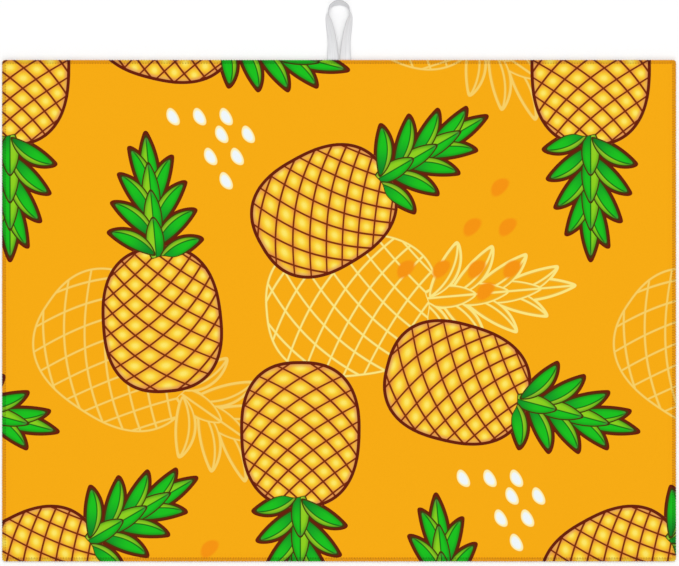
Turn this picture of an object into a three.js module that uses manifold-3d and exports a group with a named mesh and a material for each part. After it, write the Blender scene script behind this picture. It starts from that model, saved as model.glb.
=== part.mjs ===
// A printed dish drying mat with a ribbon hanging loop, lying flat on a worktop.
// Millimetres, +Z up. X runs along the width, and Y along the depth towards the loop.
// The origin is the middle of the mat's underside.
//
// A foam sheet lies between two fabric covers. Along the edge all three are squeezed into a thin rim,
// which three sewing threads wrap. The ribbon's two ends are sewn in between the covers.

import * as THREE from 'three';
import { mergeVertices } from 'three/addons/utils/BufferGeometryUtils.js';
import Module from 'manifold-3d';

// The mat, over its stitched edge.
const matWidth = 610;
const matDepth = 454;
const matCorner = 3;

// The layers.
const coverThickness = 0.8;
const foamThickness = 1.8;
const layerGap = 0.3;

// The squeezed rim, and the slope that rises from it to the full thickness.
const rimWidth = 3.8;
const slopeWidth = 4;
const cushionCorner = 8;
const slopeSteps = 3;
const cornerSteps = 6;

// The overlock stitches round the edge.
const threadThickness = 0.3;
const threadGap = 0.1;
const looperGap = 0.3;
const needleLineInset = 3;
const needleThreadWidth = 0.4;
const leastInnerCorner = 0.4;

// The ribbon and how it is sewn in.
const ribbonWidth = 10;
const ribbonThickness = 0.5;
const ribbonClearance = 0.3;
const ribbonTail = 8;
const strandGap = 1.3;
const ribbonSteps = 56;
const slotPastEdge = 1;

// Half of the loop, from the mat's edge to its top: how far each place has spread sideways from where it
// leaves the mat, how far out from the edge it is, and how many degrees the ribbon has turned on its side.
const loopHalf = [
  { spread: 0, reach: 0, turn: 0 },
  { spread: 0.2, reach: 9, turn: 27 },
  { spread: 0.7, reach: 17, turn: 38 },
  { spread: 1.9, reach: 25, turn: 45 },
  { spread: 3.5, reach: 33.5, turn: 55 },
  { spread: 4.9, reach: 40, turn: 75 },
  { spread: 3.9, reach: 44.2, turn: 90 },
  { spread: 1.9, reach: 48.4, turn: 102 },
];
const loopTop = { reach: 51.6, turn: 114 };

// What follows from those sizes.
const matThickness = 2 * (coverThickness + layerGap) + foamThickness;
const ribbonSpace = ribbonThickness + 2 * ribbonClearance;
const rimThickness = 2 * coverThickness + ribbonSpace;
const rimBase = (matThickness - rimThickness) / 2;
const rimTop = rimBase + rimThickness;
const middle = matThickness / 2;
const wrapThickness = threadThickness + threadGap;
const strandOffset = (ribbonWidth + strandGap) / 2;
const matEdge = matDepth / 2;

// Corners of a mesh closer than this are one vertex.
const mergeDistance = 1e-4;

const wasm = await Module();
wasm.setup();

function toSolid(geometry) {
  const bare = geometry.clone();
  bare.deleteAttribute('normal');
  bare.deleteAttribute('uv');
  const merged = mergeVertices(bare, mergeDistance);
  const vertProperties = new Float32Array(merged.attributes.position.array);
  const triVerts = new Uint32Array(merged.index.array);
  return new wasm.Manifold(new wasm.Mesh({ numProp: 3, vertProperties, triVerts }));
}

function toGeometry(solid) {
  const mesh = solid.getMesh();
  const geometry = new THREE.BufferGeometry();
  geometry.setAttribute('position', new THREE.BufferAttribute(mesh.vertProperties, mesh.numProp));
  geometry.setIndex(new THREE.BufferAttribute(mesh.triVerts, 1));
  return geometry;
}

// The mat's outline, moved in from the stitched edge by inset. It is added to path, a Shape or a hole's Path.
function traceOutline(path, inset, corner) {
  const x = matWidth / 2 - inset;
  const y = matDepth / 2 - inset;
  path.moveTo(-x + corner, -y);
  path.lineTo(x - corner, -y);
  path.absarc(x - corner, -y + corner, corner, -Math.PI / 2, 0, false);
  path.lineTo(x, y - corner);
  path.absarc(x - corner, y - corner, corner, 0, Math.PI / 2, false);
  path.lineTo(-x + corner, y);
  path.absarc(-x + corner, y - corner, corner, Math.PI / 2, Math.PI, false);
  path.lineTo(-x, -y + corner);
  path.absarc(-x + corner, -y + corner, corner, Math.PI, 1.5 * Math.PI, false);
  return path;
}

function cornerAt(inset) {
  return Math.max(matCorner - inset, leastInnerCorner);
}

// A slab with the mat's outline. A bevel, if any, is added above and below it.
function plate(inset, corner, low, high, bevel = {}) {
  const shape = traceOutline(new THREE.Shape(), inset, corner);
  const settings = { depth: high - low, curveSegments: cornerSteps, bevelEnabled: false, ...bevel };
  return toSolid(new THREE.ExtrudeGeometry(shape, settings).translate(0, 0, low));
}

// A flat band round the mat, from one inset to another.
function band(outerInset, innerInset, low, high) {
  const shape = traceOutline(new THREE.Shape(), outerInset, cornerAt(outerInset));
  shape.holes.push(traceOutline(new THREE.Path(), innerInset, cornerAt(innerInset)));
  const settings = { depth: high - low, curveSegments: cornerSteps, bevelEnabled: false };
  return toSolid(new THREE.ExtrudeGeometry(shape, settings).translate(0, 0, low));
}

// The outer shape of the two covers and the foam together: a thin rim with a cushion rising inside it.
function layersEnvelope() {
  const rim = plate(wrapThickness, cornerAt(wrapThickness), rimBase, rimTop);
  const cushion = plate(rimWidth, cushionCorner, rimBase, rimTop, {
    bevelEnabled: true,
    bevelThickness: rimBase,
    bevelSize: slopeWidth,
    bevelOffset: -slopeWidth,
    bevelSegments: slopeSteps,
  });
  return rim.add(cushion);
}

// The slots that the ribbon's two ends take, between the covers and out through the edge.
function ribbonSlots(height) {
  const width = ribbonWidth + 2 * ribbonClearance;
  const inside = ribbonTail + ribbonClearance;
  const slot = (side) => {
    const box = new THREE.BoxGeometry(width, inside + slotPastEdge, height);
    const middleY = matEdge + (slotPastEdge - inside) / 2;
    return toSolid(box.translate(side * strandOffset, middleY, middle));
  };
  return slot(-1).add(slot(1));
}

// The ribbon's middle line and its turn, from one sewn end round to the other.
function loopPath() {
  const liftAt = (turn) => {
    const side = Math.sin(THREE.MathUtils.degToRad(turn));
    return side * (ribbonWidth + ribbonThickness) / 2 + (1 - side) * middle;
  };
  const half = loopHalf.map(({ spread, reach, turn }) => (
    { x: strandOffset + spread, y: matEdge + reach, z: liftAt(turn), turn }
  ));
  const top = { x: 0, y: matEdge + loopTop.reach, z: liftAt(loopTop.turn), turn: loopTop.turn };
  const tail = { x: strandOffset, y: matEdge - ribbonTail, z: middle, turn: 0 };
  const left = [tail, ...half].map((place) => ({ ...place, x: -place.x }));
  const right = [...half].reverse().concat(tail);
  const places = [...left, top, ...right];
  const route = new THREE.CatmullRomCurve3(
    places.map((place) => new THREE.Vector3(place.x, place.y, place.z)),
    false,
    'centripetal',
  );
  const turnAt = (along) => {
    const position = along * (places.length - 1);
    const step = Math.min(Math.floor(position), places.length - 2);
    return THREE.MathUtils.lerp(places[step].turn, places[step + 1].turn, position - step);
  };
  return { route, turnAt };
}

// A straight strip laid along the loop's path, turned about its middle line as it goes.
function ribbonGeometry() {
  const strip = new THREE.BoxGeometry(ribbonWidth, 1, ribbonThickness, 1, ribbonSteps, 1);
  const { route, turnAt } = loopPath();
  const position = strip.attributes.position;
  const vertex = new THREE.Vector3();
  const inward = new THREE.Vector3();
  const across = new THREE.Vector3();
  const up = new THREE.Vector3(0, 0, 1);
  for (let i = 0; i < position.count; i += 1) {
    vertex.fromBufferAttribute(position, i);
    const along = THREE.MathUtils.clamp(vertex.y + 0.5, 0, 1);
    const turn = THREE.MathUtils.degToRad(turnAt(along));
    const tangent = route.getTangent(along);
    inward.set(tangent.y, -tangent.x, 0).normalize();
    across.copy(inward).multiplyScalar(Math.cos(turn)).addScaledVector(up, Math.sin(turn));
    const facing = new THREE.Vector3().crossVectors(across, tangent).normalize();
    const place = route.getPoint(along);
    place.addScaledVector(across, vertex.x).addScaledVector(facing, vertex.z);
    position.setXYZ(i, place.x, place.y, place.z);
  }
  return strip;
}

function node(name, geometry, colour, roughness) {
  const material = new THREE.MeshStandardMaterial({ color: colour, roughness, metalness: 0 });
  const mesh = new THREE.Mesh(geometry, material);
  mesh.name = name;
  return mesh;
}

const envelope = layersEnvelope();
const foamStep = coverThickness + layerGap;

const topCover = envelope.subtract(envelope.translate([0, 0, -coverThickness]));
const backCover = envelope.subtract(envelope.translate([0, 0, coverThickness]));
const foamCore = envelope
  .intersect(envelope.translate([0, 0, -foamStep]))
  .intersect(envelope.translate([0, 0, foamStep]))
  .subtract(ribbonSlots(matThickness));

// Each looper thread lies over one face of the rim and turns down over half of the edge.
const looperReach = needleLineInset - looperGap;
const upperTop = rimTop + wrapThickness;
const lowerBase = rimBase - wrapThickness;
const upperLooper = band(0, looperReach, rimTop + threadGap, upperTop)
  .add(band(0, threadThickness, middle + looperGap / 2, upperTop))
  .subtract(ribbonSlots(ribbonSpace));
const lowerLooper = band(0, looperReach, lowerBase, rimBase - threadGap)
  .add(band(0, threadThickness, lowerBase, middle - looperGap / 2))
  .subtract(ribbonSlots(ribbonSpace));
const needleThread = band(
  needleLineInset,
  needleLineInset + needleThreadWidth,
  rimTop + threadGap,
  upperTop,
);

const mat = new THREE.Group();
mat.add(node('top_cover', toGeometry(topCover), 0xf6aa16, 0.85));
mat.add(node('foam_core', toGeometry(foamCore), 0xf3ead0, 0.95));
mat.add(node('back_cover', toGeometry(backCover), 0xe9e4da, 0.9));
mat.add(node('hanging_loop', ribbonGeometry(), 0xe4e4e6, 0.6));
mat.add(node('needle_thread', toGeometry(needleThread), 0xd9860f, 0.7));
mat.add(node('upper_looper_thread', toGeometry(upperLooper), 0xe0900f, 0.7));
mat.add(node('lower_looper_thread', toGeometry(lowerLooper), 0xe0900f, 0.7));

export default mat;
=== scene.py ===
import math

import bpy
import numpy as np
from mathutils import Matrix, Vector


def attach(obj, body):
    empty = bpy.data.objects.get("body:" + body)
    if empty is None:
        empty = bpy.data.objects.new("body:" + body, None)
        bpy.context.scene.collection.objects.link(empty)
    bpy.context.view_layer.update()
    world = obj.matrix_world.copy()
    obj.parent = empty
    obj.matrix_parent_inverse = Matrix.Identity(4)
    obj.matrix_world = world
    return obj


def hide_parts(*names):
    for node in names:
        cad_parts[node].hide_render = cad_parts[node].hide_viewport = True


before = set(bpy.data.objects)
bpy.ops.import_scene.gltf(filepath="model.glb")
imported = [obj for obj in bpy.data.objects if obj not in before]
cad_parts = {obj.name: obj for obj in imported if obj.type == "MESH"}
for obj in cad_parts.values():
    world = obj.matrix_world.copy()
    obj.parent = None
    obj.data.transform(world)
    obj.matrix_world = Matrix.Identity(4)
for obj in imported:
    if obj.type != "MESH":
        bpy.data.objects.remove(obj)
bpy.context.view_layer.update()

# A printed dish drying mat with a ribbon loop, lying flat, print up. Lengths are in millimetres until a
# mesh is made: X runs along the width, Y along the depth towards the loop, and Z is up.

mm = 0.001
full_turn = 2 * math.pi

# Faces that meet at less than this are shaded as one smooth surface.
crease_angle = math.radians(50)

# The mat, over its stitched edge.
mat_width = 610
mat_depth = 454
mat_corner = 3

# The layers, and the rim where they are squeezed together.
cover_thickness = 0.8
layer_gap = 0.3
thread_wrap = 0.4
rim_base = 0.65
rim_top = 3.35
rim_width = 3.8
slope_width = 5
cushion_corner = 8
middle_height = 2.0
cloth_wave = 0.22
wave_most = 1.8

# How closely the covers are divided: fine across the rim and slope, wider on the flat. A line is left out
# where it is nearer than line_spare of a cell to one that has to be there.
rim_lines = (0.4, 0.9, 1.4, 1.9, 2.5, 3.1, 3.8, 4.4, 5.2, 6.2, 7.4, 8.8, 10.6)
print_cell = 3.3
plain_cell = 6.0
line_spare = 0.4

# The overlock stitches.
stitch_length = 2.4
corner_stitches = 2
looper_thread = 0.4
needle_thread = 0.38
needle_inset = 3.2
needle_hole = 0.5

# The ribbon, and the slots in the foam that its ends lie in.
ribbon_width = 10
ribbon_thickness = 0.5
ribbon_clearance = 0.3
ribbon_tail = 8
strand_gap = 1.3
strand_offset = (ribbon_width + strand_gap) / 2
slot_half = ribbon_width / 2 + ribbon_clearance
slot_end = mat_depth / 2 - ribbon_tail - ribbon_clearance
ribbon_steps = 176
ribbon_columns = 20
rib_height = 0.02
rib_half_waves = 9
selvedge_thinning = 0.35
selvedge_sharpness = 14
rib_allowance = 0.03
slot_margin = 1
turn_spacing = 10


# ----- Node helpers -----

NUMBER = "NodeSocketFloat"
VECTOR = "NodeSocketVector"
COLOUR = "NodeSocketColor"


def linear(red, green, blue):
    """A dye's display colour, from 0 to 255, as the linear colour that a shader takes."""
    parts = [value / 255 for value in (red, green, blue)]
    return (*[v / 12.92 if v <= 0.04045 else ((v + 0.055) / 1.055) ** 2.4 for v in parts], 1)


class Desk:
    """Lays nodes out in one tree. Each method gives back the output it made."""

    def __init__(self, tree):
        self.tree = tree
        self.laid = 0

    def put(self, kind, *values, **settings):
        node = self.tree.nodes.new(kind)
        node.location = (220 * (self.laid // 8), -180 * (self.laid % 8))
        self.laid += 1
        for name, value in settings.items():
            setattr(node, name, value)
        for socket, value in zip(node.inputs, values):
            self.feed(socket, value)
        return node

    def feed(self, socket, value):
        if isinstance(value, bpy.types.NodeSocket):
            self.tree.links.new(value, socket)
        elif value is not None:
            socket.default_value = value

    def number(self, operation, *values):
        return self.put("ShaderNodeMath", *values, operation=operation).outputs[0]

    def times(self, first, second):
        return self.number("MULTIPLY", first, second)

    def scaled(self, value, by, plus):
        return self.number("MULTIPLY_ADD", value, by, plus)

    def minus(self, first, second):
        return self.number("SUBTRACT", first, second)

    def unsigned(self, value):
        return self.number("ABSOLUTE", value)

    def vector(self, operation, *values):
        node = self.put("ShaderNodeVectorMath", *values, operation=operation)
        return node.outputs["Value" if operation in ("DOT_PRODUCT", "LENGTH") else "Vector"]

    def split(self, vector):
        return self.put("ShaderNodeSeparateXYZ", vector).outputs

    def join(self, x, y, z=0):
        return self.put("ShaderNodeCombineXYZ", x, y, z).outputs[0]

    def rise(self, value, low, high):
        """0 below low, 1 above high, and a soft step between."""
        return self.spread(value, low, high, 0, 1, "SMOOTHSTEP")

    def fall(self, value, low, high):
        """1 below low, 0 above high, and a soft step between."""
        return self.spread(value, low, high, 1, 0, "SMOOTHSTEP")

    def shade(self, value, low, high, strength):
        """0 below low, the strength above high, and a soft step between."""
        return self.times(self.rise(value, low, high), strength)

    def spread(self, value, low, high, at_low, at_high, way="LINEAR"):
        """A value moved from one range to another."""
        node = self.put("ShaderNodeMapRange", value, low, high, at_low, at_high, interpolation_type=way)
        return node.outputs[0]

    def blend(self, factor, first, second, way="MIX"):
        node = self.put("ShaderNodeMix", factor, data_type="RGBA", blend_type=way)
        self.feed(node.inputs[6], first)
        self.feed(node.inputs[7], second)
        return node.outputs[2]

    def blend_vector(self, factor, first, second):
        node = self.put("ShaderNodeMix", factor, data_type="VECTOR")
        self.feed(node.inputs[4], first)
        self.feed(node.inputs[5], second)
        return node.outputs[1]

    def ramp(self, value, stops):
        node = self.put("ShaderNodeValToRGB", value)
        marks = node.color_ramp.elements
        while len(marks) < len(stops):
            marks.new(0.5)
        for mark, (place, colour) in zip(marks, stops):
            mark.position = place
            mark.color = colour
        return node.outputs[0]

    def noise(self, vector, scale, detail=3):
        return self.put("ShaderNodeTexNoise", vector, None, scale, detail).outputs[0]

    def object_place(self):
        return self.put("ShaderNodeTexCoord").outputs["Object"]

    def attribute(self, name):
        return self.put("ShaderNodeAttribute", attribute_name=name).outputs["Vector"]

    def group(self, tree, **values):
        node = self.put("ShaderNodeGroup", node_tree=tree)
        for name, value in values.items():
            self.feed(node.inputs[name.replace("_", " ").capitalize()], value)
        return node.outputs

    def bump(self, height, strength, depth):
        node = self.put("ShaderNodeBump")
        node.inputs["Strength"].default_value = strength
        node.inputs["Distance"].default_value = depth
        self.feed(node.inputs["Height"], height)
        return node.outputs[0]


def start_group(name, inputs, outputs):
    """A new shader group's tree, its desk, what it is given and what it puts out."""
    tree = bpy.data.node_groups.new(name, "ShaderNodeTree")
    for label, kind in inputs.items():
        tree.interface.new_socket(name=label, in_out="INPUT", socket_type=kind)
    for label, kind in outputs.items():
        tree.interface.new_socket(name=label, in_out="OUTPUT", socket_type=kind)
    given = tree.nodes.new("NodeGroupInput").outputs
    wanted = tree.nodes.new("NodeGroupOutput").inputs
    return tree, Desk(tree), given, wanted


# ----- Camera, light and floor -----

# The camera and the room are in metres, but for the floor's drop below the mat.
camera_height = 3.0
picture_width = 0.61395
picture_centre = (0.0004, 0.0250)

# The room gives less light than it shows, and the floor is just under the mat.
room_light = 0.55
floor_size = 16
floor_drop = 0.3
floor_tone = (0.98, 0.98, 0.98, 1)


def add_object(name, data):
    thing = bpy.data.objects.new(name, data)
    bpy.context.collection.objects.link(thing)
    return thing


def make_camera():
    data = bpy.data.cameras.new("overhead_camera")
    data.sensor_width = 36
    data.lens = data.sensor_width * camera_height / picture_width
    data.clip_start = 0.1
    data.clip_end = 100
    camera = add_object("overhead_camera", data)
    camera.location = (*picture_centre, camera_height + 2 * middle_height * mm)
    bpy.context.scene.camera = camera


def make_soft_light(name, place, size, power):
    data = bpy.data.lights.new(name, "AREA")
    data.shape = "DISK"
    data.size = size
    data.energy = power
    light = add_object(name, data)
    light.location = place
    light.rotation_euler = (-Vector(place)).to_track_quat("-Z", "Y").to_euler()


def make_studio():
    world = bpy.data.worlds.new("soft_room")
    bpy.context.scene.world = world
    world.use_nodes = True
    sky = world.node_tree.nodes["Background"]
    sky.inputs["Color"].default_value = (1, 1, 1, 1)
    room = Desk(world.node_tree)
    seen = room.put("ShaderNodeLightPath").outputs["Is Camera Ray"]
    room.feed(sky.inputs["Strength"], room.spread(seen, 0, 1, room_light, 1))
    make_soft_light("key_light", place=(0, 1.75, 6), size=3.5, power=156)
    make_soft_light("fill_light", place=(0, -4, 4.75), size=3.5, power=62.5)
    bpy.context.scene.view_settings.view_transform = "Standard"
    bpy.ops.mesh.primitive_plane_add(size=floor_size, location=(0, 0, -floor_drop * mm))
    floor = bpy.context.object
    floor.name = "studio_floor"
    bpy.ops.object.transform_apply(location=True)
    pale, _, surface = start_finish("pale_floor", roughness=0.9, specular=0.1)
    surface["Base Color"].default_value = floor_tone
    floor.data.materials.append(pale)


# ----- The print: a half-drop repeat of coloured fruits, line-drawn fruits, seeds and dots -----

# The repeat moves by half its width with each row.
repeat_width = 525
repeat_drop = 327

# One repeat's coloured fruits: where the body's centre is, and which way the crown points, in degrees.
coloured_fruits = ((-160, -10, 95), (-15, 90, 30), (105, -65, -15), (-35, -110, -90))

# Its line-drawn fruits, with whether each is mirrored and how strongly it shows.
drawn_fruits = ((10, 5, 5, False, 0.86), (-200, -35, -35, True, 0.46))
drawn_scale = 1.2

# Its white seeds and soft dots lie in rows: the first one's place, and how many there are. Each is
# a little fuller on one side.
seed_rows = ((112, -152, 3), (156, -168, 2), (146, -188, 2), (160, -210, 1))
seed_step = 24
seed_heading = 120
seed_size = (17, 10)
dot_rows = ((60, 38, 4), (120, 76, 2), (145, 112, 1), (132, 18, 1))
dot_step = 32
dot_heading = 45
dot_size = (20, 13)
spot_fuller = 0.2

# A fruit's body, with its centre at 0, 0 and its crown up.
body_half_width = 53
body_half_height = 65
body_lift = 2
body_taper = 0.03
body_roundness = 2.5

# The rind's lines run both ways alike over a rounded body. They sag towards its middle, and they are
# steeper at its sides and, for each millimetre up, at its top.
rind_slope = 0.75
rind_spacing = 18.5
rind_start = 0.65
rind_sag = 0.0025
side_squeeze = 0.1
top_squeeze = 0.004

# The crown's leaves lean out to either side by turns, from back to front, each turn rooted lower, leaning
# farther and shorter than the last. Every second turn has an upright leaf behind it, rooted lower still.
crown_turns = 8
first_root = 104
root_step = 7.5
first_lean = 16
lean_step = 7
side_length = 58
side_shorter = 1.5
side_half_width = 7.6
side_bow = 4
side_ridge = 0.35
upright_drop = 9
upright_length = 77
upright_shorter = 5
upright_half_width = 8.6
tip_rounding = 4.5
crown_foot = 58
crown_foot_wave = 0.9
crown_foot_ripple = 0.3

# Half sizes of the rounds that a fruit's body and crown lie within.
body_reach = (57, 69)
crown_reach = (50, 66)
crown_middle = 114

# Line widths of the print.
contour_width = 3.0
crown_contour = 2.1
rind_line = 1.6
leaf_line = 1.35
ridge_line = 1.1
inner_edge_share = 0.6
drawn_line = 1.6
drawn_halo = 2.9
halo_strength = 0.4

# Soft shades: the two places that each changes between, in millimetres from an edge or line or in shares
# of a leaf's length, and, where there is a third number, how strong it is.
rind_edge_shade = (-5.5, -1.0, 0.8)
rind_line_fade = (0.4, 1.6)
rind_line_tint = 0.3
leaf_edge_shade = (-4.5, -0.4, 0.55)
leaf_root_fade = (0.05, 0.65)
leaf_lit_end = (0.6, 1.0, 0.6)
leaf_tip_shade = (0.84, 1.0, 0.5)

# Where a dot, a seed and a seed's white fade out, in shares of the spot's half size.
dot_edge = (0.75, 1.15)
seed_edge = (0.94, 1.04)
seed_rim_edge = (0.6, 0.85)

# Farther than any place in a motif is from its lines.
far_off = 50

# The dyes.
ground_dye = linear(248, 172, 16)
outline_dye = linear(103, 30, 8)
rind_line_dye = linear(122, 44, 10)
rind_glow_dye = linear(254, 232, 104)
rind_yellow_dye = linear(251, 212, 56)
rind_amber_dye = linear(246, 188, 46)
rind_corner_dye = linear(232, 146, 58)
rind_edge_dye = linear(221, 140, 90)
leaf_dye = linear(26, 194, 30)
leaf_root_dye = linear(14, 128, 40)
leaf_lit_dye = linear(142, 209, 30)
leaf_lit_root_dye = linear(160, 200, 50)
leaf_tip_dye = linear(122, 128, 92)
leaf_ridge_dye = linear(24, 112, 22)
leaf_line_dye = linear(66, 58, 12)
drawn_dye = linear(255, 238, 138)
drawn_halo_dye = linear(214, 196, 96)
seed_dye = linear(241, 248, 250)
seed_rim_dye = linear(255, 240, 176)
dot_dye = linear(247, 149, 15)
thread_dye = linear(224, 145, 18)
# Painted shade for the squeezed rim, not a dye.
rim_shade_tone = linear(215, 213, 210)
# Painted shade for each needle hole, not a dye.
hole_shade_tone = linear(150, 130, 110)


def make_leaf_group():
    """A leaf is where two discs overlap. How far a place is from its edge and ridge, and how far along."""
    tree, desk, given, wanted = start_group(
        "leaf_shape",
        {"Place": VECTOR, "Root": VECTOR, "Heading": VECTOR, "Length": NUMBER, "Left centre": VECTOR,
         "Left radius": NUMBER, "Right centre": VECTOR, "Right radius": NUMBER, "Lit side": NUMBER,
         "Ridge": NUMBER},
        {"Distance": NUMBER, "Ridge side": NUMBER, "Along": NUMBER},
    )

    def past_disc(side):
        out = desk.vector("LENGTH", desk.vector("SUBTRACT", given["Place"], given[side + " centre"]))
        return desk.minus(out, given[side + " radius"])

    left = past_disc("Left")
    right = past_disc("Right")
    from_root = desk.vector("SUBTRACT", given["Place"], given["Root"])
    out = desk.vector("DOT_PRODUCT", from_root, given["Heading"])
    past_tip = desk.minus(out, given["Length"])
    sides = desk.number("SMOOTH_MAX", left, right, tip_rounding)
    desk.feed(wanted["Distance"], desk.number("SMOOTH_MAX", sides, past_tip, tip_rounding))
    off_axis = desk.times(desk.minus(left, right), 0.5)
    inside = desk.times(desk.number("ADD", left, right), 0.5)
    lit = desk.times(off_axis, given["Lit side"])
    desk.feed(wanted["Ridge side"], desk.scaled(inside, given["Ridge"], lit))
    desk.feed(wanted["Along"], desk.number("DIVIDE", out, given["Length"]))
    return tree


def leaf_disc(root, tip, bulge, side):
    """The disc whose edge runs from a leaf's root to its tip and bulges out by one side."""
    reach = tip - root
    radius = (reach.length_squared / 4 + bulge ** 2) / (2 * bulge)
    leftwards = Vector((-reach.y, reach.x, 0)).normalized()
    return (root + tip) / 2 - leftwards * side * (radius - bulge), radius


def crown_leaves():
    """Each leaf's root, lean in degrees, length, half width, bow, lit side and ridge, back to front."""
    for turn in range(crown_turns):
        root = Vector((0, first_root - root_step * turn, 0))
        side = 1 if turn % 2 else -1
        if turn % 2 == 0:
            length = upright_length - upright_shorter * turn
            yield root - Vector((0, upright_drop, 0)), 0, length, upright_half_width, 0, 1, 0
        lean = side * (first_lean + lean_step * turn)
        length = side_length - side_shorter * turn
        yield root, lean, length, side_half_width, side * side_bow, side, side_ridge


def make_crown_group(leaf_tree):
    """The front leaf at a place: its edge, ridge and length there, and how far the whole crown is."""
    tree, desk, given, wanted = start_group(
        "leaf_crown",
        {"Place": VECTOR},
        {"Leaf": VECTOR, "Distance": NUMBER},
    )
    front = (far_off, far_off, 0)
    nearest = far_off
    for root, lean, length, half_width, bow, lit_side, ridge in crown_leaves():
        heading = Vector((math.sin(math.radians(lean)), math.cos(math.radians(lean)), 0))
        tip = root + heading * length
        left_centre, left_radius = leaf_disc(root, tip, half_width + bow, 1)
        right_centre, right_radius = leaf_disc(root, tip, half_width - bow, -1)
        leaf = desk.group(
            leaf_tree, place=given["Place"], root=root, heading=heading, length=length,
            left_centre=left_centre, left_radius=left_radius,
            right_centre=right_centre, right_radius=right_radius, lit_side=lit_side, ridge=ridge,
        )
        shows = desk.number("LESS_THAN", leaf["Distance"], 0)
        front = desk.blend_vector(shows, front, desk.join(*leaf))
        nearest = desk.number("MINIMUM", nearest, leaf["Distance"])
    desk.feed(wanted["Leaf"], front)
    desk.feed(wanted["Distance"], nearest)
    return tree


def make_body_group():
    """How far a place is from the body's edge and the nearest rind line, and how far out in its cell."""
    tree, desk, given, wanted = start_group(
        "fruit_body",
        {"Place": VECTOR},
        {"Distance": NUMBER, "Line distance": NUMBER, "Cell": NUMBER},
    )
    x, y, _ = desk.split(given["Place"])
    high = desk.minus(y, body_lift)
    level = desk.number("DIVIDE", high, body_half_height)
    half_width = desk.scaled(level, -body_taper * body_half_width, body_half_width)
    beside = desk.unsigned(desk.number("DIVIDE", x, half_width))
    out_x = desk.number("POWER", beside, body_roundness)
    out_y = desk.number("POWER", desk.unsigned(level), body_roundness)
    out = desk.number("POWER", desk.number("ADD", out_x, out_y), 1 / body_roundness)
    out = desk.number("MAXIMUM", out, 0.01)
    length = desk.vector("LENGTH", desk.join(x, high))
    past = desk.minus(length, desk.number("DIVIDE", length, out))
    desk.feed(wanted["Distance"], past)

    sideways = desk.number("DIVIDE", x, body_half_width)
    squared = desk.times(sideways, sideways)
    nearest = far_off
    offsets = []
    for slope in (-rind_slope, rind_slope):
        upwards = desk.scaled(y, top_squeeze * slope, slope)
        swing = desk.times(desk.scaled(squared, side_squeeze, 1), upwards)
        steeper = desk.scaled(squared, 3 * side_squeeze, 1)
        swing_slope = desk.times(upwards, steeper)
        arched = desk.scaled(x, rind_sag, swing)
        value = desk.minus(y, desk.times(x, arched))
        value = desk.scaled(value, 1 / rind_spacing, rind_start)
        offset = desk.minus(desk.number("FRACT", value), 0.5)
        steepness = desk.scaled(x, 2 * rind_sag, swing_slope)
        stretch = desk.vector("LENGTH", desk.join(steepness, 1))
        from_line = desk.minus(0.5, desk.unsigned(offset))
        distance = desk.number("DIVIDE", desk.times(from_line, rind_spacing), stretch)
        nearest = desk.number("MINIMUM", nearest, distance)
        offsets.append(offset)
    desk.feed(wanted["Line distance"], nearest)
    desk.feed(wanted["Cell"], desk.vector("LENGTH", desk.join(*offsets)))
    return tree


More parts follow.
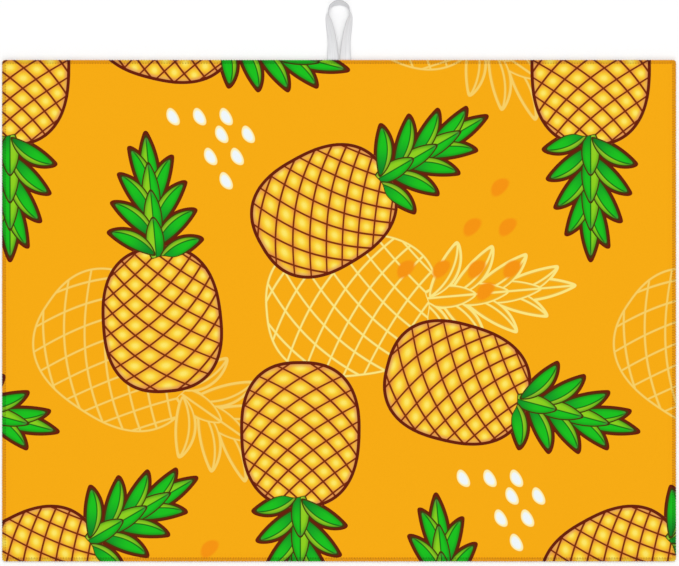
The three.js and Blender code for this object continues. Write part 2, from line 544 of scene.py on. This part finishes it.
def make_print_group():
    """The printed colour, from a place's position in the nearest fruit, line-drawn fruit and spot."""
    leaf_tree = make_leaf_group()
    crown_tree = make_crown_group(leaf_tree)
    body_tree = make_body_group()
    tree, desk, given, wanted = start_group(
        "mat_print",
        {"Fruit place": VECTOR, "Drawn place": VECTOR, "Spot place": VECTOR},
        {"Color": COLOUR},
    )

    def above_foot(x, y):
        ripple = desk.number("SINE", desk.times(x, crown_foot_ripple))
        return desk.minus(y, desk.scaled(ripple, crown_foot_wave, crown_foot))

    colour = ground_dye

    # The line-drawn fruits.
    x, y, strength = desk.split(given["Drawn place"])
    place = desk.join(x, y)
    body = desk.group(body_tree, place=place)
    crown = desk.group(crown_tree, place=place)
    leaf_edge, leaf_ridge, _ = desk.split(crown["Leaf"])
    high = above_foot(x, y)
    in_body = desk.number("LESS_THAN", body["Distance"], 0)
    no_lattice = desk.times(desk.minus(1, in_body), far_off)
    lattice = desk.number("ADD", body["Line distance"], no_lattice)
    body_line = desk.number("MINIMUM", lattice, desk.unsigned(body["Distance"]))
    leaf_inner = desk.times(desk.unsigned(leaf_edge), inner_edge_share)
    leaf_lines = desk.number("MINIMUM", leaf_inner, desk.unsigned(leaf_ridge))
    leaf_lines = desk.number("MINIMUM", leaf_lines, desk.unsigned(crown["Distance"]))
    foot_line = desk.number("MINIMUM", leaf_lines, desk.unsigned(high))
    in_crown = desk.number("LESS_THAN", crown["Distance"], drawn_line / 2)
    in_crown = desk.times(in_crown, desk.number("GREATER_THAN", high, 0))
    body_part = desk.times(desk.minus(1, in_crown), body_line)
    drawn_distance = desk.scaled(foot_line, in_crown, body_part)
    halo = desk.fall(drawn_distance, drawn_line / 2, drawn_halo / 2)
    halo = desk.times(halo, desk.times(strength, halo_strength))
    stroke = desk.fall(drawn_distance, drawn_line / 2 - 0.25, drawn_line / 2 + 0.05)
    colour = desk.blend(halo, colour, drawn_halo_dye)
    colour = desk.blend(desk.times(stroke, strength), colour, drawn_dye)

    # The dots and seeds.
    u, v, is_seed = desk.split(given["Spot place"])
    egg = desk.number("DIVIDE", v, desk.scaled(u, spot_fuller, 1))
    out = desk.vector("LENGTH", desk.join(u, egg))
    is_dot = desk.minus(1, is_seed)
    layers = (
        (dot_edge, is_dot, dot_dye), (seed_edge, is_seed, seed_rim_dye), (seed_rim_edge, is_seed, seed_dye),
    )
    for fade, is_kind, dye in layers:
        colour = desk.blend(desk.times(desk.fall(out, *fade), is_kind), colour, dye)

    # The coloured fruits' bodies.
    x, y, _ = desk.split(given["Fruit place"])
    place = desk.join(x, y)
    body = desk.group(body_tree, place=place)
    crown = desk.group(crown_tree, place=place)
    rind = desk.ramp(body["Cell"], (
        (0.0, rind_glow_dye), (0.09, rind_glow_dye), (0.25, rind_yellow_dye),
        (0.39, rind_amber_dye), (0.57, rind_corner_dye),
    ))
    near_edge = desk.shade(body["Distance"], *rind_edge_shade)
    rind = desk.blend(near_edge, rind, rind_edge_dye)
    beside_line = desk.fall(body["Line distance"], *rind_line_fade)
    rind = desk.blend(beside_line, rind, desk.blend(rind_line_tint, rind, rind_corner_dye))
    on_line = desk.fall(body["Line distance"], rind_line / 2 - 0.1, rind_line / 2 + 0.1)
    rind = desk.blend(on_line, rind, rind_line_dye)
    contour_middle = desk.unsigned(body["Distance"])
    contour = desk.fall(contour_middle, contour_width / 2 - 0.2, contour_width / 2 + 0.1)
    rind = desk.blend(contour, rind, outline_dye)
    in_body = desk.number("LESS_THAN", body["Distance"], contour_width / 2)
    colour = desk.blend(in_body, colour, rind)

    # Their crowns.
    leaf_edge, leaf_ridge, along = desk.split(crown["Leaf"])
    out_of_root = desk.rise(along, *leaf_root_fade)
    shade = desk.blend(out_of_root, leaf_root_dye, leaf_dye)
    lit = desk.blend(out_of_root, leaf_lit_root_dye, leaf_lit_dye)
    lit = desk.blend(desk.shade(along, *leaf_lit_end), lit, leaf_dye)
    leaf = desk.blend(desk.rise(leaf_ridge, -0.2, 0.2), shade, lit)
    from_ridge = desk.unsigned(leaf_ridge)
    on_ridge = desk.fall(from_ridge, ridge_line / 2 - 0.2, ridge_line / 2 + 0.2)
    leaf = desk.blend(on_ridge, leaf, leaf_ridge_dye)
    edge_shade = desk.shade(leaf_edge, *leaf_edge_shade)
    leaf = desk.blend(edge_shade, leaf, leaf_ridge_dye)
    leaf = desk.blend(desk.shade(along, *leaf_tip_shade), leaf, leaf_tip_dye)
    leaf = desk.blend(desk.rise(leaf_edge, -leaf_line, -leaf_line + 0.3), leaf, leaf_line_dye)
    leaf = desk.blend(desk.rise(crown["Distance"], -0.2, 0.1), leaf, outline_dye)
    high = above_foot(x, y)
    leaf = desk.blend(desk.fall(high, 0.5, 1.0), leaf, leaf_line_dye)
    in_crown = desk.number("LESS_THAN", crown["Distance"], crown_contour)
    in_crown = desk.times(in_crown, desk.number("GREATER_THAN", high, 0))
    hidden_foot = desk.times(desk.number("GREATER_THAN", crown["Distance"], 0), in_body)
    in_crown = desk.times(in_crown, desk.minus(1, hidden_foot))
    colour = desk.blend(in_crown, colour, leaf)
    desk.feed(wanted["Color"], colour)
    return tree


def repeats():
    """Where the print's unit is copied to, as far as the mat reaches."""
    for row in (-1, 0, 1):
        for half_step in range(-3, 4):
            if (row + half_step) % 2 == 0:
                yield np.array((half_step * repeat_width / 2, row * repeat_drop))


def seen_from(points, centre, heading, size_x, size_y, mirrored=False):
    """Points as a motif sees them: its own X and Y, with Y along its heading."""
    angle = math.radians(heading)
    upwards = np.array((math.cos(angle), math.sin(angle)))
    rightwards = np.array((math.sin(angle), -math.cos(angle)))
    away = points - centre
    side = -1 if mirrored else 1
    return np.stack((side * (away @ rightwards) / size_x, (away @ upwards) / size_y), axis=-1)


def fruit_reach(local):
    """Under 1 within a fruit's body or crown, and larger the farther it is."""
    body = np.hypot(local[:, 0] / body_reach[0], local[:, 1] / body_reach[1])
    crown = np.hypot(local[:, 0] / crown_reach[0], (local[:, 1] - crown_middle) / crown_reach[1])
    return np.minimum(body, crown)


def spot_reach(local):
    return np.hypot(local[:, 0], local[:, 1])


def write_places(mesh, name, motifs, reach_of):
    """Gives each face's corners their place in the motif nearest to that face."""
    corner_face = np.repeat(np.arange(len(mesh.polygons)), [p.loop_total for p in mesh.polygons])
    corner_vertex = np.array([loop.vertex_index for loop in mesh.loops])
    places = np.array([v.co[:2] for v in mesh.vertices]) / mm
    centres = np.array([p.center[:2] for p in mesh.polygons]) / mm
    least = np.full(len(centres), np.inf)
    result = np.zeros((len(corner_face), 3))
    for *seen, extra in motifs:
        reach = reach_of(seen_from(centres, *seen))
        nearer = reach < least
        if nearer.any():
            least[nearer] = reach[nearer]
            taken = nearer[corner_face]
            points = places[corner_vertex[taken]]
            result[taken, :2] = seen_from(points, *seen)
            result[taken, 2] = extra
    layer = mesh.attributes.new(name, "FLOAT_VECTOR", "CORNER")
    layer.data.foreach_set("vector", result.ravel())


def spot_rows(shift, rows, step, heading, size, is_seed):
    """The motifs of one cluster of dots or seeds."""
    length, width = size
    spots = []
    for x, y, count in rows:
        for place in range(count):
            spots.append((shift + (x + step * place, y), heading, width / 2, length / 2, False, is_seed))
    return spots


def print_on(piece):
    """Writes where the print's motifs lie on a finished piece."""
    fruits = []
    drawn = []
    spots = []
    for shift in repeats():
        for x, y, heading in coloured_fruits:
            fruits.append((shift + (x, y), heading, 1, 1, False, 0))
        for x, y, heading, mirrored, strength in drawn_fruits:
            drawn.append((shift + (x, y), heading, drawn_scale, drawn_scale, mirrored, strength))
        spots += spot_rows(shift, dot_rows, dot_step, dot_heading, dot_size, 0)
        spots += spot_rows(shift, seed_rows, seed_step, seed_heading, seed_size, 1)
    write_places(piece.data, "fruit_place", fruits, fruit_reach)
    write_places(piece.data, "drawn_place", drawn, fruit_reach)
    write_places(piece.data, "spot_place", spots, spot_reach)


# ----- Finishes -----

# How many fibres, stains, foam cells and satin streaks there are to a metre, roughly.
fibre_scale = 2600
stain_scale = 14
foam_cell_scale = 1100
streaks_across = 900
streaks_along = 40

# How wide a foam cell's wall is, in cells.
foam_wall = 0.22

# Painted shade on the printed cover's squeezed rim, and in each needle hole, whose soft edge is given as
# cosines where a stitch is a full turn.
rim_shade_inset = 2.8
rim_shade_strength = 0.3
hole_shade_edge = (0.3, 0.9)

# The tape's lengthwise lines, and where the painted shade along its selvedges starts and is full, out from
# its middle.
tape_line = 0.95
selvedge_shade_start = 4.1
selvedge_shade_full = 4.7

def make_weave_group():
    """Plain weave or knit from crossing yarns, with loose fibres over it."""
    tree, desk, given, wanted = start_group(
        "yarn_weave",
        {"Vector": VECTOR, "Yarn": NUMBER, "Pull": NUMBER},
        {"Height": NUMBER, "Fibre": NUMBER},
    )
    x, y, _ = desk.split(given["Vector"])
    turns = desk.number("DIVIDE", full_turn, given["Yarn"])
    fibre = desk.noise(given["Vector"], fibre_scale)
    bend = desk.times(desk.minus(fibre, 0.5), given["Pull"])
    across = desk.number("SINE", desk.number("ADD", desk.times(x, turns), bend))
    down = desk.number("SINE", desk.number("ADD", desk.times(y, turns), bend))
    crossing = desk.scaled(desk.times(across, down), 0.25, 0.5)
    desk.feed(wanted["Height"], desk.number("ADD", crossing, desk.times(fibre, 0.6)))
    desk.feed(wanted["Fibre"], fibre)
    return tree


def start_finish(name, roughness, specular, sheen=0):
    material = bpy.data.materials.new(name)
    material.use_nodes = True
    surface = material.node_tree.nodes["Principled BSDF"]
    surface.inputs["Roughness"].default_value = roughness
    surface.inputs["Specular IOR Level"].default_value = specular
    surface.inputs["Sheen Weight"].default_value = sheen
    surface.inputs["Sheen Roughness"].default_value = 0.5
    return material, Desk(material.node_tree), surface.inputs


def printed_colour(desk, print_tree):
    """The print's colour, from the places that print_on writes on a piece."""
    names = ("fruit_place", "drawn_place", "spot_place")
    return desk.group(print_tree, **{name: desk.attribute(name) for name in names})["Color"]


def make_printed_finish(print_tree, weave_tree):
    material, desk, surface = start_finish("printed_microfibre", roughness=0.88, specular=0.06)
    place = desk.object_place()
    printed = printed_colour(desk, print_tree)
    weave = desk.group(weave_tree, vector=place, yarn=0.9 * mm, pull=1.2)
    x, y, _ = desk.split(place)
    inset_x = desk.minus(mat_width / 2 * mm, desk.unsigned(x))
    inset_y = desk.minus(mat_depth / 2 * mm, desk.unsigned(y))
    inset = desk.number("MINIMUM", inset_x, inset_y)
    # Painted shade: the cover darkens towards its stitched edge, standing in for the shade on the squeezed
    # rim.
    rim_shade = desk.fall(inset, rim_shade_inset * mm, rim_width * mm)
    printed = desk.blend(desk.times(rim_shade, rim_shade_strength), printed, rim_shade_tone, "MULTIPLY")
    from_corner = desk.minus(desk.number("MAXIMUM", inset_x, inset_y), mat_corner * mm)
    # Painted shade: a row of dark dots along the needle line, standing in for the shade in each needle
    # hole.
    pitch = desk.number("COSINE", desk.times(from_corner, full_turn / (stitch_length * mm)))
    off_row = desk.unsigned(desk.minus(inset, needle_inset * mm))
    hole_shade = desk.times(desk.rise(pitch, *hole_shade_edge), desk.fall(off_row, 0, 2 * needle_hole * mm))
    printed = desk.blend(hole_shade, printed, hole_shade_tone, "MULTIPLY")
    fibre_shade = desk.ramp(weave["Fibre"], ((0.25, (0.93, 0.93, 0.93, 1)), (0.75, (1, 1, 1, 1))))
    desk.feed(surface["Base Color"], desk.blend(1, printed, fibre_shade, "MULTIPLY"))
    rough = desk.spread(weave["Fibre"], 0, 1, 0.8, 0.96)
    desk.feed(surface["Roughness"], rough)
    desk.feed(surface["Normal"], desk.bump(weave["Height"], strength=0.35, depth=0.12 * mm))
    return material


def make_backing_finish(weave_tree):
    material, desk, surface = start_finish("plain_backing_knit", roughness=0.9, specular=0.15)
    place = desk.object_place()
    weave = desk.group(weave_tree, vector=place, yarn=1.3 * mm, pull=1.6)
    tone = desk.ramp(weave["Height"], ((0.3, linear(214, 209, 199)), (0.9, linear(243, 240, 233))))
    cloudy = desk.ramp(desk.noise(place, stain_scale), ((0.3, (0.95, 0.95, 0.94, 1)), (0.7, (1, 1, 1, 1))))
    desk.feed(surface["Base Color"], desk.blend(1, tone, cloudy, "MULTIPLY"))
    desk.feed(surface["Roughness"], desk.spread(weave["Fibre"], 0, 1, 0.82, 0.97))
    desk.feed(surface["Normal"], desk.bump(weave["Height"], strength=0.5, depth=0.2 * mm))
    return material


def make_foam_finish():
    material, desk, surface = start_finish("open_cell_foam", roughness=0.95, specular=0.1)
    place = desk.object_place()
    bubbles = desk.put("ShaderNodeTexVoronoi", place, None, foam_cell_scale, feature="DISTANCE_TO_EDGE")
    walls = desk.fall(bubbles.outputs["Distance"], 0, foam_wall)
    desk.feed(surface["Base Color"], desk.blend(walls, linear(214, 200, 164), linear(248, 240, 216)))
    desk.feed(surface["Roughness"], desk.spread(walls, 0, 1, 0.85, 1.0))
    desk.feed(surface["Normal"], desk.bump(walls, strength=0.7, depth=0.3 * mm))
    return material


def make_ribbon_finish(weave_tree):
    """Satin tape: its map runs across the tape in U and along it in V, both in metres."""
    material, desk, surface = start_finish("white_satin_tape", roughness=0.5, specular=0.35, sheen=0.1)
    along_tape = desk.put("ShaderNodeUVMap", uv_map="tape_thread").outputs[0]
    weave = desk.group(weave_tree, vector=along_tape, yarn=0.45 * mm, pull=0.8)
    u, v, _ = desk.split(along_tape)
    lines = desk.number("SINE", desk.times(u, full_turn / (tape_line * mm)))
    streak = desk.noise(desk.join(desk.times(u, streaks_across), desk.times(v, streaks_along)), 1.0)
    tone = desk.scaled(lines, 0.12, streak)
    shade = desk.ramp(tone, ((0.25, linear(217, 217, 219)), (0.75, linear(241, 241, 243))))
    # Painted shade: a darker band along both edges of the tape stands in for the shade along its edges.
    from_middle = desk.unsigned(desk.minus(u, ribbon_width / 2 * mm))
    selvedge_shade = desk.rise(from_middle, selvedge_shade_start * mm, selvedge_shade_full * mm)
    shade = desk.blend(desk.times(selvedge_shade, 0.6), shade, linear(188, 188, 190))
    desk.feed(surface["Base Color"], shade)
    desk.feed(surface["Roughness"], desk.spread(streak, 0, 1, 0.42, 0.62))
    height = desk.scaled(lines, 0.35, weave["Height"])
    desk.feed(surface["Normal"], desk.bump(height, strength=0.4, depth=0.06 * mm))
    return material


def make_thread_finish(print_tree, weave_tree):
    """Overlock thread, which took the print from above and keeps its own dye underneath."""
    material, desk, surface = start_finish("dyed_overlock_thread", roughness=0.75, specular=0.25)
    place = desk.object_place()
    printed = printed_colour(desk, print_tree)
    weave = desk.group(weave_tree, vector=place, yarn=0.28 * mm, pull=2.0)
    _, _, z = desk.split(place)
    from_above = desk.rise(z, rim_base * mm, middle_height * mm)
    printed = desk.blend(from_above, thread_dye, printed)
    worn = desk.ramp(weave["Fibre"], ((0.25, linear(222, 222, 222)), (0.75, linear(250, 250, 250))))
    desk.feed(surface["Base Color"], desk.blend(1, printed, worn, "MULTIPLY"))
    desk.feed(surface["Roughness"], desk.spread(weave["Fibre"], 0, 1, 0.62, 0.88))
    desk.feed(surface["Normal"], desk.bump(weave["Height"], strength=0.5, depth=0.08 * mm))
    return material


# ----- The covers and the foam -----

def deselect_all():
    for thing in bpy.context.selected_objects:
        thing.select_set(False)


def choose(piece):
    deselect_all()
    piece.select_set(True)
    bpy.context.view_layer.objects.active = piece


def edit_all(piece, operation, **settings):
    """Runs one edit mode operation on all of a piece."""
    choose(piece)
    bpy.ops.object.mode_set(mode="EDIT")
    bpy.ops.mesh.select_all(action="SELECT")
    operation(**settings)
    bpy.ops.object.mode_set(mode="OBJECT")


def division(half, cell, extra=()):
    """Where a layer is divided along one axis: close together at the rim and about a cell apart inside."""
    near = [half - inset for inset in rim_lines]
    flat = near[-1]
    count = math.ceil(2 * flat / cell)
    inside = np.linspace(-flat, flat, count + 1)
    kept = [place for place in inside if all(abs(place - mark) > line_spare * cell for mark in extra)]
    return np.array(sorted({*kept, *near, *[-place for place in near], *extra}))


def swelling(x, y):
    """How far the cushion has risen out of the rim: 0 at the stitches, 1 on the flat."""
    reach_x = np.clip(np.abs(x) - (mat_width / 2 - rim_width - cushion_corner), 0, None)
    reach_y = np.clip(np.abs(y) - (mat_depth / 2 - rim_width - cushion_corner), 0, None)
    inside = cushion_corner - np.hypot(reach_x, reach_y)
    part = np.clip(inside / slope_width, 0, 1)
    return 0.5 - 0.5 * np.cos(math.pi * part)


def waving(x, y):
    """The face's slight unevenness, never below the flat."""
    wave = np.sin(x / 41 + 0.7) * np.cos(y / 53 - 0.4)
    wave += 0.5 * np.sin(x / 23 + y / 31) + 0.3 * np.cos(y / 17 - x / 37)
    return cloth_wave * (wave + wave_most) / (2 * wave_most)


def round_corners(x, y, inset, radius):
    """Draws the grid's square corners in to round ones."""
    start_x = mat_width / 2 - inset - radius
    start_y = mat_depth / 2 - inset - radius
    over_x = np.clip(np.abs(x) - start_x, 0, None)
    over_y = np.clip(np.abs(y) - start_y, 0, None)
    distance = np.hypot(over_x, over_y)
    shrink = np.where(distance > 0, np.maximum(over_x, over_y) / np.maximum(distance, 1e-9), 1)
    new_x = np.sign(x) * (np.minimum(np.abs(x), start_x) + over_x * shrink)
    new_y = np.sign(y) * (np.minimum(np.abs(y), start_y) + over_y * shrink)
    return new_x, new_y


def in_ribbon_slot(x, y):
    beside = np.abs(np.abs(x) - strand_offset) < slot_half
    return beside & (y > slot_end)


def make_layer(name, columns, rows, high, low, cut=None):
    """A closed sheet between two heights, over a grid drawn in to the mat's outline."""
    grid_x, grid_y = np.meshgrid(columns, rows)
    x, y = round_corners(grid_x, grid_y, thread_wrap, mat_corner - thread_wrap)
    upper = np.stack((x, y, high(x, y)), axis=-1).reshape(-1, 3)
    lower = np.stack((x, y, low(x, y)), axis=-1).reshape(-1, 3)
    under = len(upper)
    number = np.arange(under).reshape(grid_x.shape)
    a, b = number[:-1, :-1], number[:-1, 1:]
    c, d = number[1:, 1:], number[1:, :-1]
    kept = np.ones(a.shape, bool)
    if cut is not None:
        middle_x = (columns[:-1] + columns[1:]) / 2
        middle_y = (rows[:-1] + rows[1:]) / 2
        kept = ~cut(*np.meshgrid(middle_x, middle_y))
    faces = np.stack((a[kept], b[kept], c[kept], d[kept]), axis=-1)
    faces = np.concatenate((faces, faces[:, ::-1] + under))
    framed = np.pad(kept, 1)
    walls = (
        (framed[:-2, 1:-1], a, b),
        (framed[1:-1, 2:], b, c),
        (framed[2:, 1:-1], c, d),
        (framed[1:-1, :-2], d, a),
    )
    for neighbour, first, second in walls:
        edge = kept & ~neighbour
        wall = np.stack((second[edge], first[edge], first[edge] + under, second[edge] + under), axis=-1)
        faces = np.concatenate((faces, wall))
    mesh = bpy.data.meshes.new(name)
    mesh.from_pydata((np.concatenate((upper, lower)) * mm).tolist(), [], faces.tolist())
    piece = add_object(name, mesh)
    edit_all(piece, bpy.ops.mesh.delete_loose)
    bpy.ops.object.shade_smooth_by_angle(angle=crease_angle)
    return piece


def cover_top(x, y):
    return rim_top + (rim_base + waving(x, y)) * swelling(x, y)


def cover_underside(x, y):
    return rim_base * (1 - swelling(x, y))


def make_covers():
    half_x = mat_width / 2
    half_y = mat_depth / 2
    printed = make_layer(
        "printed_cover", division(half_x, print_cell), division(half_y, print_cell),
        cover_top, lambda x, y: cover_top(x, y) - cover_thickness,
    )
    backing = make_layer(
        "backing_cover", division(half_x, plain_cell), division(half_y, plain_cell),
        lambda x, y: cover_underside(x, y) + cover_thickness, cover_underside,
    )
    clear = cover_thickness + layer_gap
    slot_sides = [side * (strand_offset + half) for side in (-1, 1) for half in (-slot_half, slot_half)]
    foam = make_layer(
        "foam_sheet", division(half_x, plain_cell, slot_sides), division(half_y, plain_cell, (slot_end,)),
        lambda x, y: cover_top(x, y) - clear, lambda x, y: cover_underside(x, y) + clear,
        in_ribbon_slot,
    )
    return printed, backing, foam


# ----- The ribbon -----

# Half of the loop, from the mat's edge to its top: sideways spread, distance out and turn in degrees.
loop_half = (
    (0, 0, 0), (0.2, 9, 27), (0.7, 17, 38), (1.9, 25, 45),
    (3.5, 33.5, 55), (4.9, 40, 75), (3.9, 44.2, 90), (1.9, 48.4, 102),
)
loop_top = (51.6, 114)


def ribbon_places():
    """The places that the ribbon's middle line passes, with its turn at each."""
    edge = mat_depth / 2

    def lift(turn):
        side = math.sin(math.radians(turn))
        return side * (ribbon_width + ribbon_thickness) / 2 + (1 - side) * middle_height

    right = [(strand_offset + spread, edge + out, lift(turn), turn) for spread, out, turn in loop_half]
    tail = (strand_offset, edge - ribbon_tail, middle_height, 0)
    left = [(-x, y, z, turn) for x, y, z, turn in (tail, *right)]
    top = (0, edge + loop_top[0], lift(loop_top[1]), loop_top[1])
    return np.array((*left, top, *reversed(right), tail))


def smooth_path(points, along):
    """A smooth curve through the points, at a part of the way from 0 to 1."""
    position = along * (len(points) - 1)
    step = min(int(position), len(points) - 2)
    part = position - step
    before = points[step - 1] if step > 0 else 2 * points[0] - points[1]
    after = points[step + 2] if step + 2 < len(points) else 2 * points[-1] - points[-2]
    run = (before, points[step], points[step + 1], after)
    gaps = [math.sqrt(np.linalg.norm(run[i + 1] - run[i])) for i in range(3)]
    steps = [(run[i + 1] - run[i]) / gaps[i] for i in range(3)]
    leave = (steps[0] - (run[2] - run[0]) / (gaps[0] + gaps[1]) + steps[1]) * gaps[1]
    arrive = (steps[1] - (run[3] - run[1]) / (gaps[1] + gaps[2]) + steps[2]) * gaps[1]
    rise = run[2] - run[1]
    square = 3 * rise - 2 * leave - arrive
    cube = leave + arrive - 2 * rise
    return run[1] + part * (leave + part * (square + part * cube))


def ribbon_section():
    """The tape's cut end, as its upper and lower sides: thinner at the selvedges and ribbed between."""
    across = np.linspace(-1, 1, ribbon_columns + 1)
    rib = rib_height * np.cos(across * math.pi * rib_half_waves)
    thinner = 1 - selvedge_thinning * np.abs(across) ** selvedge_sharpness
    thickness = ribbon_thickness / 2 * thinner + rib - rib_allowance
    upper = [(a * ribbon_width / 2, t) for a, t in zip(across, thickness)]
    lower = [(a, -t) for a, t in reversed(upper)]
    return upper, lower


def make_ribbon():
    """The loop, and how long its tape is."""
    places = ribbon_places()
    line = places[:, :3]
    turning = np.stack((turn_spacing * np.arange(len(places)), places[:, 3]), axis=-1)
    upper, lower = ribbon_section()
    section = upper + lower
    ring = len(section)
    vertices = []
    lengths = [0.0]
    middle = []
    for step in range(ribbon_steps + 1):
        along = step / ribbon_steps
        here = smooth_path(line, along)
        nudge = 1e-4
        ahead = smooth_path(line, min(along + nudge, 1)) - smooth_path(line, max(along - nudge, 0))
        forward = ahead / np.linalg.norm(ahead)
        turn = math.radians(smooth_path(turning, along)[1])
        inward = np.array((forward[1], -forward[0], 0))
        inward /= np.linalg.norm(inward)
        across = math.cos(turn) * inward + math.sin(turn) * np.array((0, 0, 1))
        facing = np.cross(across, forward)
        facing /= np.linalg.norm(facing)
        vertices.extend(here + across * a + facing * t for a, t in section)
        if middle:
            lengths.append(lengths[-1] + float(np.linalg.norm(here - middle[-1])))
        middle.append(here)
    faces = []
    thread = []
    width_at = [a + ribbon_width / 2 for a, _ in section]
    for step in range(ribbon_steps):
        for place in range(ring):
            beside = (place + 1) % ring
            first, second = step * ring, (step + 1) * ring
            faces.append((first + place, second + place, second + beside, first + beside))
            for column, row in ((place, step), (place, step + 1), (beside, step + 1), (beside, step)):
                thread.append((width_at[column] * mm, lengths[row] * mm))
    for first, flip in ((0, False), (ribbon_steps * ring, True)):
        for place in range(ribbon_columns):
            corners = [place, place + 1, ring - 2 - place, ring - 1 - place]
            corners = corners[::-1] if flip else corners
            faces.append(tuple(first + corner for corner in corners))
            thread.extend((width_at[corner] * mm, 0) for corner in corners)
    mesh = bpy.data.meshes.new("ribbon_loop")
    mesh.from_pydata((np.array(vertices) * mm).tolist(), [], faces)
    layer = mesh.uv_layers.new(name="tape_thread")
    layer.data.foreach_set("uv", np.array(thread).ravel())
    piece = add_object("ribbon_loop", mesh)
    edit_all(piece, bpy.ops.mesh.normals_make_consistent, inside=False)
    bpy.ops.object.shade_smooth_by_angle(angle=crease_angle)
    return piece, lengths[-1] * mm


# ----- The stitches -----

# One upper looper stitch, as along the edge, in from it, and up. The lower one is the same turned over.
looper_path = (
    (0.0, 2.9, 3.56), (0.42, 2.0, 3.64), (0.85, 0.95, 3.62), (1.05, 0.35, 3.45), (1.14, 0.2, 2.95),
    (1.2, 0.2, 2.45), (1.38, 0.2, 2.45), (1.44, 0.2, 2.95), (1.53, 0.35, 3.45), (1.75, 0.95, 3.62),
    (2.12, 2.0, 3.64), (2.4, 2.9, 3.56),
)
needle_path = tuple((along, needle_inset, high) for along, high in (
    (0.0, 3.3), (0.2, 3.56), (0.7, 3.68), (1.7, 3.68), (2.2, 3.56), (2.4, 3.3),
))


def make_stitch(name, path, thickness):
    curve = bpy.data.curves.new(name, "CURVE")
    curve.dimensions = "3D"
    curve.bevel_depth = thickness / 2 * mm
    curve.bevel_resolution = 0
    curve.use_fill_caps = True
    strand = curve.splines.new("POLY")
    strand.points.add(len(path) - 1)
    for point, place in zip(strand.points, path):
        point.co = (*[value * mm for value in place], 1)
    stitch = add_object(name, curve)
    choose(stitch)
    bpy.ops.object.convert(target="MESH")
    return bpy.context.object


def copy_placed(stitch, matrix, count=1, step=0):
    """A copy of the stitch, repeated along its own X where count is over 1, with its place in its mesh."""
    choose(stitch)
    bpy.ops.object.duplicate()
    row = bpy.context.object
    if count > 1:
        repeat = row.modifiers.new("row", "ARRAY")
        repeat.count = count
        repeat.use_relative_offset = False
        repeat.use_constant_offset = True
        repeat.constant_offset_displace = (step * mm, 0, 0)
        bpy.ops.object.modifier_apply(modifier="row")
    row.matrix_world = matrix
    bpy.ops.object.transform_apply(location=True, rotation=True, scale=True)
    return row


def sew_round(name, path, thickness):
    """Sews one kind of stitch along all four edges and round the corners."""
    stitch = make_stitch(name + "_one", path, thickness)
    rows = []
    for quarter in range(4):
        along, across = (mat_width, mat_depth) if quarter % 2 == 0 else (mat_depth, mat_width)
        run = along - 2 * mat_corner
        count = round(run / stitch_length)
        turn = Matrix.Rotation(math.radians(90 * quarter), 4, "Z")
        start = Matrix.Translation(Vector((-run / 2, -across / 2, 0)) * mm)
        rows.append(copy_placed(stitch, turn @ start, count, run / count))
        centre = Matrix.Translation(Vector((run / 2, -across / 2 + mat_corner, 0)) * mm)
        back = Matrix.Translation(Vector((-stitch_length / 2, -mat_corner, 0)) * mm)
        for place in range(corner_stitches):
            lean = Matrix.Rotation(math.radians(90 * (place + 0.5) / corner_stitches), 4, "Z")
            rows.append(copy_placed(stitch, turn @ centre @ lean @ back))
    deselect_all()
    for row in rows:
        row.select_set(True)
    bpy.context.view_layer.objects.active = rows[0]
    bpy.ops.object.join()
    sewn = bpy.context.object
    sewn.name = name
    bpy.data.objects.remove(stitch)
    edit_all(sewn, bpy.ops.mesh.normals_make_consistent, inside=False)
    bpy.ops.object.shade_smooth()
    return sewn


def clear_ribbon(sewn):
    """Keeps the looper threads off the ribbon where it comes out between them."""
    half_slot = ribbon_thickness / 2 + ribbon_clearance
    half_opening = strand_offset + ribbon_width / 2 + slot_margin
    for vertex in sewn.data.vertices:
        x, y, z = vertex.co / mm
        at_ribbon = abs(x) < half_opening and y > mat_depth / 2 - slot_margin
        if at_ribbon and abs(z - middle_height) < half_slot:
            vertex.co.z = (middle_height + math.copysign(half_slot, z - middle_height)) * mm


def make_stitches():
    lower_path = [(x + 0.1, y, 2 * middle_height - z) for x, y, z in looper_path]
    needle = sew_round("needle_stitches", needle_path, needle_thread)
    upper = sew_round("upper_looper_stitches", looper_path, looper_thread)
    lower = sew_round("lower_looper_stitches", lower_path, looper_thread)
    clear_ribbon(upper)
    clear_ribbon(lower)
    return needle, upper, lower


# ----- The whole mat -----

def finish_piece(piece, node, material):
    piece.data.materials.clear()
    piece.data.materials.append(material)
    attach(piece, "root")
    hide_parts(node)


deselect_all()
make_camera()
make_studio()
print_tree = make_print_group()
weave_tree = make_weave_group()
printed_finish = make_printed_finish(print_tree, weave_tree)
thread_finish = make_thread_finish(print_tree, weave_tree)

printed_cover, backing_cover, foam_sheet = make_covers()
print_on(printed_cover)
finish_piece(printed_cover, "top_cover", printed_finish)
finish_piece(backing_cover, "back_cover", make_backing_finish(weave_tree))
finish_piece(foam_sheet, "foam_core", make_foam_finish())

ribbon_loop, ribbon_length = make_ribbon()
finish_piece(ribbon_loop, "hanging_loop", make_ribbon_finish(weave_tree))

stitch_nodes = ("needle_thread", "upper_looper_thread", "lower_looper_thread")
stitches = make_stitches()
for sewn, node in zip(stitches, stitch_nodes):
    print_on(sewn)
    finish_piece(sewn, node, thread_finish)
